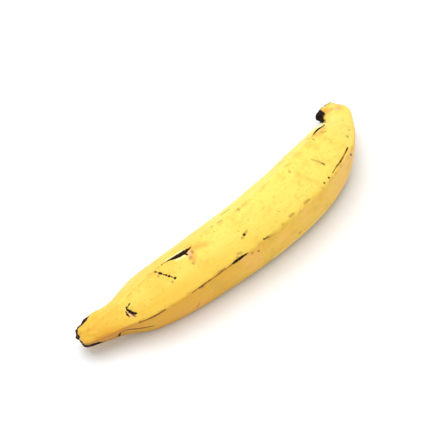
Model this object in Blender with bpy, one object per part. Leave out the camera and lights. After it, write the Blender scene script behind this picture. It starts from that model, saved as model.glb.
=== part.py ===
"""A plantain banana lying on its side, built as one closed solid.

The fruit is a loft: unlike cross-sections, from a round stalk to a five-angled
body and a blunt tip, are carried along a spine that bends to one side.
Units are metres, +Z is up, +X runs from the blossom tip to the stalk and the
inside of the bend faces +Y. The origin is under the middle of the fruit.
"""

import math

import bmesh
import bpy
import numpy as np

# Driving dimensions in metres. The dome heights are how far the end faces stand
# out, and the flat depth is how much the resting side is pressed in.
SPINE_LENGTH = 0.300
TIP_DOME = 0.0040
STALK_DOME = 0.0025
FLAT_DEPTH = 0.0008

# Each list below gives a value at places along the spine, where a place is a
# fraction of the way from the blossom tip (0) to the end of the stalk (1).

# Which way the spine runs in plan, in degrees, turning left towards the stalk.
HEADING = (
    (0.00, -22.0),
    (0.15, -14.0),
    (0.35, -9.5),
    (0.55, -3.5),
    (0.70, 6.5),
    (0.82, 12.0),
    (0.90, 32.0),
    (1.00, 82.0),
)

# How steeply the spine climbs, in degrees. The body's slope keeps its lower
# facet level, and the stalk droops.
CLIMB = (
    (0.00, 3.0),
    (0.20, 3.2),
    (0.40, 2.3),
    (0.55, 1.1),
    (0.65, -0.4),
    (0.76, -2.5),
    (0.88, -6.0),
    (0.94, -18.0),
    (1.00, -30.0),
)

# Mean half thickness in metres.
HALF_THICKNESS = (
    (0.000, 0.0087),
    (0.030, 0.0099),
    (0.080, 0.0117),
    (0.150, 0.0182),
    (0.220, 0.0209),
    (0.320, 0.0223),
    (0.450, 0.0238),
    (0.600, 0.0246),
    (0.720, 0.0240),
    (0.800, 0.0209),
    (0.860, 0.0142),
    (0.900, 0.0108),
    (0.940, 0.0098),
    (0.975, 0.0088),
    (1.000, 0.0093),
)

# How angular the section is: 3 is nearly round and 7 has clear corners.
ANGULARITY = (
    (0.00, 5.0),
    (0.10, 6.5),
    (0.30, 6.5),
    (0.70, 6.0),
    (0.84, 6.0),
    (0.92, 5.0),
    (1.00, 3.5),
)

# How far the section is turned about the spine, in degrees.
TWIST = (
    (0.00, -18.0),
    (0.15, -8.0),
    (0.30, -2.0),
    (0.50, 0.0),
    (0.70, 4.0),
    (1.00, 6.0),
)

# The bearing of each of the five facets round the section, in degrees, with 0
# on the outside of the bend and 90 on top. The last facet is underneath.
FACETS = (-4.0, 70.0, 138.0, 203.0, 274.0)

# Fineness of the mesh. The crowding draws the rings together at both ends.
RING_COUNT = 74
SIDE_COUNT = 40
DOME_RINGS = 4
SPINE_STEPS = 600
RING_CROWDING = 0.06

PEEL_COLOUR = (0.86, 0.60, 0.10, 1.0)
PEEL_ROUGHNESS = 0.45


def clear_scene():
    """Remove the objects that the scene holds."""
    for item in list(bpy.data.objects):
        bpy.data.objects.remove(item, do_unlink=True)


def smooth_values(stations, places):
    """Read the smooth curve through the stations at each of the places."""
    knots = np.array([place for place, _ in stations])
    values = np.array([value for _, value in stations])
    slopes = np.gradient(values, knots)
    start = np.clip(np.searchsorted(knots, places, side="right") - 1, 0, len(knots) - 2)
    width = knots[start + 1] - knots[start]
    step = (places - knots[start]) / width
    to_end = 3.0 * step**2 - 2.0 * step**3
    start_slope = step**3 - 2.0 * step**2 + step
    end_slope = step**3 - step**2
    level = values[start] + (values[start + 1] - values[start]) * to_end
    return level + width * (slopes[start] * start_slope + slopes[start + 1] * end_slope)


def spine_directions(places):
    """Give the directions forward, outward and upward of the spine at each place."""
    heading = np.radians(smooth_values(HEADING, places))
    climb = np.radians(smooth_values(CLIMB, places))
    level = np.cos(climb)
    forward = np.column_stack((np.cos(heading) * level, np.sin(heading) * level, np.sin(climb)))
    outward = np.column_stack((np.sin(heading), -np.cos(heading), np.zeros_like(heading)))
    return forward, outward, np.cross(outward, forward)


def spine_points(places):
    """Walk along the spine and give its point at each place."""
    marks = np.linspace(0.0, 1.0, SPINE_STEPS + 1)
    forward, _, _ = spine_directions(marks)
    strides = 0.5 * (forward[1:] + forward[:-1]) * SPINE_LENGTH / SPINE_STEPS
    walked = np.vstack((np.zeros(3), np.cumsum(strides, axis=0)))
    return np.column_stack([np.interp(places, marks, walked[:, axis]) for axis in range(3)])


def section_radii(bearings, angularity):
    """Give the radii of a rounded five-sided section whose mean radius is 1."""
    total = np.zeros_like(bearings)
    for facet in FACETS:
        total += np.maximum(0.0, np.cos(bearings - math.radians(facet))) ** angularity
    radii = total ** (-1.0 / angularity)
    return radii / radii.mean()


def ring_places():
    """Spread the rings along the spine, closer together at both ends."""
    even = np.linspace(0.0, 1.0, RING_COUNT)
    return even - RING_CROWDING * np.sin(2.0 * math.pi * even)


def surface_rings():
    """Lay out the rings of the peel, from the tip to the end of the stalk."""
    places = ring_places()
    points = spine_points(places)
    _, outward, upward = spine_directions(places)
    half = smooth_values(HALF_THICKNESS, places)
    angularity = smooth_values(ANGULARITY, places)
    twist = np.radians(smooth_values(TWIST, places))
    bearings = np.linspace(0.0, 2.0 * math.pi, SIDE_COUNT, endpoint=False)
    rings = []
    for row in range(RING_COUNT):
        radii = half[row] * section_radii(bearings, angularity[row])
        turned = bearings + twist[row]
        across = np.outer(radii * np.cos(turned), outward[row])
        rise = np.outer(radii * np.sin(turned), upward[row])
        rings.append(points[row] + across + rise)
    return np.array(rings)


def dome_rings(ring, towards, height):
    """Round off an end ring with rings that shrink as they rise, and give the crown point."""
    centre = ring.mean(axis=0)
    domed = []
    for step in range(1, DOME_RINGS + 1):
        angle = 0.5 * math.pi * step / (DOME_RINGS + 1)
        lift = towards * height * math.sin(angle)
        domed.append(centre + (ring - centre) * math.cos(angle) + lift)
    return domed, centre + towards * height


def place_on_ground(points):
    """Centre the fruit over the origin and press a small flat spot under it."""
    low = points.min(axis=0)
    high = points.max(axis=0)
    middle = 0.5 * (low + high)
    placed = points - np.array([middle[0], middle[1], low[2] + FLAT_DEPTH])
    placed[:, 2] = np.maximum(placed[:, 2], 0.0)
    return placed


def loft_mesh():
    """Join the rings and the two crown points into one closed mesh."""
    rings = surface_rings()
    forward, _, _ = spine_directions(np.array([0.0, 1.0]))
    tip_rings, tip_crown = dome_rings(rings[0], -forward[0], TIP_DOME)
    stalk_rings, stalk_crown = dome_rings(rings[-1], forward[1], STALK_DOME)
    layers = tip_rings[::-1] + list(rings) + stalk_rings
    points = place_on_ground(np.vstack(layers + [tip_crown, stalk_crown]))

    work = bmesh.new()
    corners = [work.verts.new(point) for point in points]
    last = (len(layers) - 1) * SIDE_COUNT
    for side in range(SIDE_COUNT):
        beside = (side + 1) % SIDE_COUNT
        for near in range(0, last, SIDE_COUNT):
            far = near + SIDE_COUNT
            square = (near + side, far + side, far + beside, near + beside)
            work.faces.new([corners[index] for index in square])
        work.faces.new((corners[side], corners[beside], corners[-2]))
        work.faces.new((corners[last + beside], corners[last + side], corners[-1]))
    mesh = bpy.data.meshes.new("banana")
    work.to_mesh(mesh)
    work.free()
    mesh.shade_smooth()
    return mesh


def peel_material():
    """Make the plain ripe yellow of the peel."""
    material = bpy.data.materials.new("peel")
    material.use_nodes = True
    shader = material.node_tree.nodes["Principled BSDF"]
    shader.inputs["Base Color"].default_value = PEEL_COLOUR
    shader.inputs["Roughness"].default_value = PEEL_ROUGHNESS
    shader.inputs["Metallic"].default_value = 0.0
    return material


def main():
    """Build the fruit in a collection of its own."""
    clear_scene()
    collection = bpy.data.collections.new("banana")
    bpy.context.scene.collection.children.link(collection)
    mesh = loft_mesh()
    mesh.materials.append(peel_material())
    collection.objects.link(bpy.data.objects.new("banana", mesh))


main()
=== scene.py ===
"""Dresses one ripe plantain banana that lies on its side on a pale table.

The peel is a fine surface carried along the same bent spine as the solid, with the
lumps, creases, cracks and torn ends of the real fruit. Lengths are in metres unless a
name ends in _mm. A place is a fraction of the way from the blossom tip (0) to the end
of the stalk (1), and a bearing is in degrees round the section: 0 is the outside of
the bend and 90 is the top.
"""

import logging
import math
import random
from collections.abc import Callable
from dataclasses import dataclass, field
from enum import Enum

import bmesh
import bpy
import numpy as np
from mathutils import Matrix, Vector, noise

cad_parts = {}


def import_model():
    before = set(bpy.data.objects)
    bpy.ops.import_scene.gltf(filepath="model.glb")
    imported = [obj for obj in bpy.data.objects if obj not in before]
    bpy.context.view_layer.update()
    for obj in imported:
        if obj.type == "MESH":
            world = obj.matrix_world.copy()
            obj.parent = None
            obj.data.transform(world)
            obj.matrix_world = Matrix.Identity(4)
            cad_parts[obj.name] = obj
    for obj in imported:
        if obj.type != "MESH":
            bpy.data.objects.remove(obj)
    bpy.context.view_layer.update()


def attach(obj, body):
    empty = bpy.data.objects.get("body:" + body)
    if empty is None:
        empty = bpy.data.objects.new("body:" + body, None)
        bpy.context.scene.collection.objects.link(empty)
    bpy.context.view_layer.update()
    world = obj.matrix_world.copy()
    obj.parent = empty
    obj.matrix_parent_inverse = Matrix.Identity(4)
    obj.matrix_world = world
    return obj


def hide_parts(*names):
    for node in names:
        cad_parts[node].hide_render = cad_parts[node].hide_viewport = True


LOG = logging.getLogger("banana")
BODY = "root"
NODE = "banana"
MM = 0.001
SEAM_BEARING = -60.0
UV_MARGIN = 0.02
UV_NAME = "peel_map"

Colour = tuple[float, float, float]
Socket = bpy.types.NodeSocket


@dataclass(frozen=True)
class Track:
    """A smooth curve through values that are given at places along the spine."""

    stations: tuple[tuple[float, float], ...]

    def at(self, places: np.ndarray) -> np.ndarray:
        """Read the curve.

        Args:
            places: Where to read it, each from 0 to 1.

        Returns:
            The value at each place.
        """
        knots = np.array([place for place, _ in self.stations])
        values = np.array([value for _, value in self.stations])
        slopes = np.gradient(values, knots)
        start = np.clip(np.searchsorted(knots, places, side="right") - 1, 0, len(knots) - 2)
        width = knots[start + 1] - knots[start]
        step = (places - knots[start]) / width
        to_end = 3.0 * step**2 - 2.0 * step**3
        start_slope = step**3 - 2.0 * step**2 + step
        end_slope = step**3 - step**2
        level = values[start] + (values[start + 1] - values[start]) * to_end
        return level + width * (slopes[start] * start_slope + slopes[start + 1] * end_slope)

    def value(self, place: float) -> float:
        """Read the curve at one place."""
        return float(self.at(np.array([place]))[0])


@dataclass(frozen=True)
class Spine:
    """The bent line that the fruit grows along."""

    length: float = 0.300
    steps: int = 600
    heading: Track = Track((
        (0.00, -22.0), (0.15, -14.0), (0.35, -9.5), (0.55, -3.5),
        (0.70, 6.5), (0.82, 12.0), (0.90, 32.0), (1.00, 82.0),
    ))
    climb: Track = Track((
        (0.00, 3.0), (0.20, 3.2), (0.40, 2.3), (0.55, 1.1), (0.65, -0.4),
        (0.76, -2.5), (0.88, -6.0), (0.94, -18.0), (1.00, -30.0),
    ))

    def directions(self, places: np.ndarray) -> tuple[np.ndarray, np.ndarray, np.ndarray]:
        """Find which way the spine and its section face.

        Args:
            places: Where to look, each from 0 to 1.

        Returns:
            The directions forward, outward and upward at each place.
        """
        heading = np.radians(self.heading.at(places))
        climb = np.radians(self.climb.at(places))
        level = np.cos(climb)
        forward = np.column_stack((np.cos(heading) * level, np.sin(heading) * level, np.sin(climb)))
        outward = np.column_stack((np.sin(heading), -np.cos(heading), np.zeros_like(heading)))
        return forward, outward, np.cross(outward, forward)

    def points(self, places: np.ndarray) -> np.ndarray:
        """Walk along the spine.

        Args:
            places: Where to stop, each from 0 to 1.

        Returns:
            The spine's point at each place.
        """
        marks = np.linspace(0.0, 1.0, self.steps + 1)
        forward, _, _ = self.directions(marks)
        strides = 0.5 * (forward[1:] + forward[:-1]) * self.length / self.steps
        walked = np.vstack((np.zeros(3), np.cumsum(strides, axis=0)))
        return np.column_stack([np.interp(places, marks, walked[:, axis]) for axis in range(3)])


@dataclass(frozen=True)
class Section:
    """The five-angled cross-section and how it changes along the fruit."""

    half_thickness: Track = Track((
        (0.000, 0.0087), (0.030, 0.0099), (0.080, 0.0117), (0.150, 0.0182), (0.220, 0.0209),
        (0.320, 0.0223), (0.450, 0.0238), (0.600, 0.0246), (0.720, 0.0240), (0.800, 0.0209),
        (0.860, 0.0142), (0.900, 0.0108), (0.940, 0.0098), (0.975, 0.0088), (1.000, 0.0093),
    ))
    angularity: Track = Track((
        (0.00, 5.0), (0.10, 6.5), (0.30, 6.5), (0.70, 6.0), (0.84, 6.0), (0.92, 5.0), (1.00, 3.5),
    ))
    twist: Track = Track((
        (0.00, -18.0), (0.15, -8.0), (0.30, -2.0), (0.50, 0.0), (0.70, 4.0), (1.00, 6.0),
    ))
    facets: tuple[float, ...] = (-4.0, 70.0, 138.0, 203.0, 274.0)

    def ridges(self) -> tuple[float, ...]:
        """Give the bearing of each ridge, half way between two facets."""
        following = self.facets[1:] + (self.facets[0] + 360.0,)
        return tuple(0.5 * (near + far) for near, far in zip(self.facets, following))

    def radii(self, bearings: np.ndarray, angularity: np.ndarray) -> np.ndarray:
        """Shape the section at unit size.

        Args:
            bearings: The bearings, in radians, one for each column.
            angularity: How angular each row's section is, one for each row.

        Returns:
            A row of radii for each section, with a mean radius of 1.
        """
        power = angularity[:, None]
        total = np.zeros((len(angularity), len(bearings)))
        for facet in self.facets:
            facing = np.maximum(0.0, np.cos(bearings - math.radians(facet)))
            total += facing[None, :] ** power
        radii = total ** (-1.0 / power)
        return radii / radii.mean(axis=1, keepdims=True)


@dataclass(frozen=True)
class Swell:
    """A place where the peel stands out of the bare form, or sinks where the height is negative.

    The spread is how far it reaches along the fruit, as a place, and round it, in degrees.
    """

    place: float
    bearing: float
    height_mm: float
    spread: tuple[float, float]


SWELLS = (
    # The square shoulder on top of the stalk's bend, and the lip where the body meets it.
    Swell(0.952, 44.0, 1.9, (0.026, 24.0)),
    Swell(0.800, 127.0, 1.9, (0.034, 8.0)),
    Swell(0.830, 150.0, 0.8, (0.030, 25.0)),
    Swell(0.846, 127.0, 2.1, (0.022, 13.0)),
    # The broken end of the stalk, which hangs towards the inside of the bend.
    Swell(1.000, 88.0, -1.3, (0.022, 26.0)),
    Swell(1.000, 158.0, 4.2, (0.024, 24.0)),
    # The upper corner of the tip is worn away, with a slight swelling behind it.
    Swell(0.000, 162.0, -2.0, (0.0058, 32.0)),
    Swell(0.034, 165.0, 0.9, (0.018, 28.0)),
)


class MarkKind(Enum):
    """What a mark on the peel is."""

    CRACK = "crack"
    SCAR = "scar"
    SMUDGE = "smudge"
    STAIN = "stain"
    BLUSH = "blush"
    # Pale lines: partly rubbed peel, partly a painted highlight along raised lips.
    RUBBED_AND_HIGHLIGHT = "rubbed"


CRACK, SCAR, SMUDGE, STAIN, BLUSH, RUBBED_AND_HIGHLIGHT = MarkKind


@dataclass(frozen=True)
class Tint:
    """A colour that is laid over another, and the share of it that shows at most."""

    colour: Colour
    share: float


@dataclass(frozen=True)
class MarkFinish:
    """How one kind of mark looks, how soft its edge is and how deep it lies."""

    tint: Tint
    edge_mm: float
    depth_mm: float


MARK_FINISHES = {
    CRACK: MarkFinish(Tint((0.012, 0.003, 0.001), 1.00), 0.30, 0.60),
    SCAR: MarkFinish(Tint((0.120, 0.042, 0.007), 0.92), 0.38, 0.22),
    SMUDGE: MarkFinish(Tint((0.26, 0.135, 0.030), 0.66), 0.90, 0.05),
    STAIN: MarkFinish(Tint((0.62, 0.25, 0.026), 0.66), 2.80, 0.0),
    BLUSH: MarkFinish(Tint((0.84, 0.44, 0.27), 0.70), 0.90, 0.0),
    # Pale cream lines: partly rubbed peel, partly a painted highlight along raised lips.
    RUBBED_AND_HIGHLIGHT: MarkFinish(Tint((0.95, 0.80, 0.40), 0.75), 0.60, 0.0),
}

# The soft marks are drawn first.
MARK_ORDER = (STAIN, BLUSH, RUBBED_AND_HIGHLIGHT, SMUDGE, SCAR, CRACK)


@dataclass(frozen=True)
class Mark:
    """One mark: a trail of places and bearings with a half width in millimetres at each."""

    kind: MarkKind
    trail: tuple[tuple[float, float, float], ...]


# The marks on the side that faces up and outwards, from the tip to the stalk.
SEEN_MARKS = (
    # A black patch below the tip, the dry rim above it, the nick, two dark lines of painted shade along the
    # lower outline and lower ridge, and its stains.
    Mark(CRACK, (
        (-0.004, 2.0, 2.4), (0.004, -5.0, 3.5), (0.014, -12.0, 3.0),
        (0.024, -20.0, 1.7), (0.034, -27.0, 0.5),
    )),
    Mark(CRACK, (
        (-0.008, 146.0, 2.8), (0.000, 147.0, 3.5), (0.008, 150.0, 3.1),
        (0.016, 156.0, 2.1), (0.024, 163.0, 0.7),
    )),
    Mark(CRACK, ((0.0663, -30.0, 1.1), (0.0672, -14.0, 1.0), (0.0690, 6.0, 0.35))),
    # Painted shade: a thin dark line along the lower outline behind the tip.
    Mark(SCAR, ((0.030, -28.0, 0.4), (0.048, -24.0, 0.35), (0.064, -30.0, 0.5))),
    # Painted shade: a dark line along the lower ridge, where the side facet meets the shaded underside.
    Mark(SCAR, (
        (0.0690, 8.0, 0.40), (0.078, 12.0, 0.50), (0.092, 4.0, 0.70),
        (0.108, -8.0, 0.70), (0.140, -15.0, 0.45),
    )),
    Mark(STAIN, ((0.016, 36.0, 1.6), (0.042, 38.0, 2.0), (0.072, 27.0, 1.2))),
    Mark(STAIN, ((0.022, 8.0, 2.4), (0.062, 6.0, 1.8))),
    Mark(STAIN, ((0.0040, 80.0, 0.4), (0.0110, 87.0, 0.3))),
    Mark(STAIN, ((0.0290, 116.0, 0.3), (0.0330, 114.0, 0.5))),
    # Hooked cut near the tip, with raw skin between its two strokes.
    Mark(CRACK, ((0.1114, 86.3, 0.55), (0.1060, 82.5, 0.30), (0.1030, 80.5, 0.45))),
    Mark(CRACK, (
        (0.1017, 85.0, 0.35), (0.1017, 76.0, 0.75), (0.1050, 66.0, 1.15),
        (0.1080, 59.0, 0.85), (0.1130, 54.5, 0.80),
    )),
    Mark(SCAR, ((0.1060, 60.0, 0.8), (0.1070, 54.0, 0.60), (0.1096, 48.0, 0.35))),
    Mark(CRACK, ((0.0969, 73.5, 0.30), (0.0965, 64.0, 0.60), (0.0985, 55.0, 0.45))),
    Mark(BLUSH, ((0.0985, 72.7, 0.4), (0.1010, 62.5, 0.7), (0.1040, 50.5, 0.7))),
    # Long black slash on the upper facet, its faint tail and the smear beside it.
    Mark(CRACK, (
        (0.2260, 109.0, 0.25), (0.2379, 106.5, 0.80), (0.2509, 102.8, 1.20), (0.2642, 100.3, 1.35),
        (0.2790, 99.0, 1.40), (0.2860, 99.3, 0.90), (0.2975, 99.7, 0.35),
    )),
    Mark(CRACK, ((0.2780, 97.0, 1.0), (0.2810, 92.5, 0.6))),
    Mark(SMUDGE, ((0.204, 109.5, 0.4), (0.212, 108.0, 0.5))),
    Mark(SCAR, ((0.2185, 107.5, 0.55), (0.2260, 108.5, 0.45))),
    Mark(RUBBED_AND_HIGHLIGHT, ((0.2340, 110.5, 0.5), (0.2553, 106.8, 0.7), (0.2780, 104.0, 0.5))),
    Mark(RUBBED_AND_HIGHLIGHT, ((0.2509, 96.5, 0.6), (0.2732, 93.5, 0.7))),
    Mark(BLUSH, ((0.2869, 95.3, 1.1), (0.2846, 87.0, 1.2))),
    Mark(SMUDGE, ((0.2935, 92.5, 0.9), (0.2925, 89.0, 0.7))),
    Mark(SMUDGE, ((0.2830, 85.5, 1.1), (0.2790, 83.5, 0.7))),
    Mark(SMUDGE, ((0.2778, 72.7, 0.8),)),
    Mark(STAIN, ((0.2900, 90.0, 2.4), (0.2823, 76.0, 1.6))),
    Mark(STAIN, ((0.300, 96.0, 1.8), (0.330, 88.0, 1.2))),
    Mark(SMUDGE, ((0.1808, 111.0, 0.6), (0.1880, 110.0, 0.5))),
    Mark(SMUDGE, ((0.1965, 93.5, 0.8),)),
    Mark(SMUDGE, ((0.2147, 68.0, 0.8),)),
    # Main ridge: thin worn lines that thicken to a black cut, then a few dots.
    Mark(SCAR, (
        (0.112, 29.5, 0.75), (0.119, 29.0, 0.45), (0.138, 30.5, 0.65), (0.170, 33.0, 0.30),
    )),
    Mark(SCAR, (
        (0.238, 32.0, 0.30), (0.277, 32.0, 0.42), (0.319, 31.8, 0.30), (0.350, 32.3, 0.35),
    )),
    Mark(CRACK, ((0.256, 31.6, 0.25), (0.268, 31.2, 0.55))),
    Mark(SMUDGE, ((0.264, 29.0, 0.6), (0.270, 28.6, 0.7))),
    Mark(SMUDGE, ((0.314, 34.0, 0.6), (0.330, 34.0, 0.6))),
    Mark(CRACK, (
        (0.350, 32.3, 0.30), (0.358, 32.3, 0.95), (0.380, 32.3, 1.05), (0.3960, 32.0, 0.35),
    )),
    Mark(SMUDGE, ((0.4072, 26.5, 1.0),)),
    Mark(SCAR, ((0.4253, 21.0, 0.80),)),
    Mark(SMUDGE, ((0.3741, 41.0, 0.6), (0.384, 39.0, 0.5))),
    Mark(SMUDGE, ((0.3691, 36.8, 0.7),)),
    Mark(BLUSH, ((0.3741, 28.5, 0.5), (0.3868, 25.5, 0.6))),
    Mark(CRACK, ((0.415, 60.0, 1.00),)),
    Mark(SMUDGE, ((0.406, 57.0, 0.8), (0.426, 63.0, 0.8))),
    Mark(SCAR, ((0.446, 35.5, 0.75), (0.458, 34.2, 0.40))),
    Mark(SMUDGE, ((0.455, 34.5, 0.5), (0.466, 33.5, 0.4))),
    Mark(SMUDGE, ((0.531, 37.7, 0.90), (0.542, 37.3, 0.60))),
    Mark(SMUDGE, ((0.581, 37.0, 0.80), (0.595, 37.0, 0.65))),
    Mark(CRACK, ((0.672, 36.7, 0.80),)),
    Mark(SCAR, ((0.653, 37.0, 0.80),)),
    Mark(SCAR, (
        (0.688, 37.0, 0.30), (0.711, 37.8, 0.45), (0.732, 37.0, 0.65),
        (0.758, 38.3, 0.45), (0.785, 40.0, 0.80),
    )),
    Mark(CRACK, ((0.726, 37.3, 0.25), (0.736, 37.1, 0.40))),
    Mark(CRACK, ((0.774, 39.3, 0.30), (0.784, 40.0, 0.45))),
    # Small marks on the upper facet, and grey-brown dots.
    Mark(SMUDGE, ((0.680, 79.0, 0.4), (0.687, 68.0, 0.7), (0.691, 57.0, 1.0))),
    Mark(SCAR, ((0.690, 60.0, 0.35), (0.691, 56.5, 0.60))),
    Mark(SCAR, ((0.418, 127.0, 0.65), (0.440, 124.0, 0.45))),
    Mark(SMUDGE, ((0.371, 109.0, 1.2),)),
    Mark(SMUDGE, ((0.388, 107.0, 0.8), (0.397, 106.0, 0.8))),
    Mark(SMUDGE, ((0.447, 102.0, 1.0),)),
    Mark(SMUDGE, ((0.614, 93.0, 1.0),)),
    # Shoulder by the stalk: the crack under its raised lip, a painted highlight along the lip, spots,
    # stains and painted shade on the left of the neck.
    Mark(CRACK, (
        (0.760, 110.5, 0.30), (0.776, 113.0, 1.20), (0.794, 115.0, 1.55),
        (0.815, 117.0, 1.35), (0.838, 119.0, 0.45),
    )),
    # Painted highlight: a pale line along the raised lip, where it catches the light.
    Mark(RUBBED_AND_HIGHLIGHT, (
        (0.772, 123.0, 0.7), (0.800, 124.0, 1.2), (0.826, 124.5, 1.2), (0.852, 125.0, 0.8),
    )),
    Mark(SMUDGE, ((0.7425, 102.0, 0.8), (0.7405, 98.0, 0.6))),
    Mark(STAIN, ((0.770, 101.0, 1.5), (0.800, 104.0, 1.8))),
    Mark(STAIN, ((0.744, 112.0, 0.9), (0.757, 105.0, 1.3), (0.774, 98.0, 0.8))),
    Mark(SMUDGE, ((0.7480, 117.0, 0.6),)),
    Mark(SMUDGE, ((0.7580, 107.0, 0.3), (0.7640, 105.0, 0.4))),
    Mark(SMUDGE, ((0.777, 99.0, 0.5), (0.789, 94.5, 0.8))),
    Mark(SMUDGE, ((0.7643, 86.3, 0.5),)),
    Mark(SMUDGE, ((0.820, 50.6, 1.2),)),
    Mark(SMUDGE, ((0.850, 52.0, 0.8),)),
    Mark(SCAR, ((0.780, 27.0, 0.5), (0.788, 22.0, 0.9))),
    Mark(BLUSH, ((0.783, 24.0, 2.0),)),
    # Painted shade: orange-brown on the left of the neck next to the stalk end, where it turns away from
    # the light.
    Mark(STAIN, ((0.955, 112.0, 2.6), (0.982, 132.0, 3.0))),
    Mark(BLUSH, ((0.939, 98.0, 1.4),)),
    Mark(STAIN, ((0.945, 84.0, 2.2), (0.962, 68.0, 1.6))),
)

# A few marks on the sides that face down and inwards.
HIDDEN_MARKS = (
    Mark(SCAR, ((0.180, 168.0, 0.3), (0.215, 170.0, 0.5), (0.248, 171.0, 0.3))),
    Mark(CRACK, ((0.310, 205.0, 0.4), (0.326, 199.0, 0.9), (0.338, 197.0, 0.4))),
    Mark(SMUDGE, ((0.318, 202.0, 1.6), (0.334, 198.0, 1.2))),
    Mark(SCAR, ((0.455, 238.0, 0.4), (0.492, 239.0, 0.5), (0.520, 238.0, 0.3))),
    Mark(CRACK, ((0.572, 171.0, 0.6),)),
    Mark(SCAR, ((0.630, 190.0, 0.4), (0.642, 181.0, 0.5))),
    Mark(SMUDGE, ((0.700, 225.0, 1.8), (0.712, 232.0, 1.0))),
    Mark(SCAR, ((0.386, -44.0, 0.4), (0.414, -45.0, 0.6), (0.430, -45.0, 0.3))),
    Mark(SMUDGE, ((0.560, -22.0, 1.2),)),
    Mark(SCAR, ((0.250, -28.0, 0.5), (0.258, -20.0, 0.3))),
)


# The scratch that crosses the upper facet is a faint line with dots of dry sap on it,
# each given as a share of its length and a half width in millimetres.
SCRATCH_ENDS = ((0.1950, 107.0), (0.2250, 70.5))
SCRATCH_DOTS = (
    (0.02, 0.45), (0.09, 0.65), (0.28, 0.85), (0.35, 0.75), (0.47, 0.55), (0.57, 0.75),
    (0.71, 0.90), (0.83, 0.40), (1.00, 0.88),
)


def scratch_marks() -> tuple[Mark, ...]:
    """Give the faint line of the scratch and the dots on it."""
    start, end = (Vector(point) for point in SCRATCH_ENDS)
    marks = [Mark(SCAR, ((*start, 0.20), (*end, 0.30)))]
    for share, width in SCRATCH_DOTS:
        marks.append(Mark(CRACK, ((*start.lerp(end, share), width),)))
    return tuple(marks)


def all_marks() -> tuple[Mark, ...]:
    """Give every mark on the peel."""
    return SEEN_MARKS + scratch_marks() + HIDDEN_MARKS


@dataclass(frozen=True)
class Pattern:
    """Noise that shows where its value rises from low to high.

    The scale is in cells to a unit, which is a metre for the position in the object.
    """

    scale: float
    detail: float
    roughness: float
    low: float
    high: float


@dataclass(frozen=True)
class Specks:
    """Small round specks, one to a cell at most.

    The scale is in cells to a metre, the radius in cells, and the bare share is of the cells.
    """

    scale: float
    radius: float
    bare: float
    tint: Tint


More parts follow.
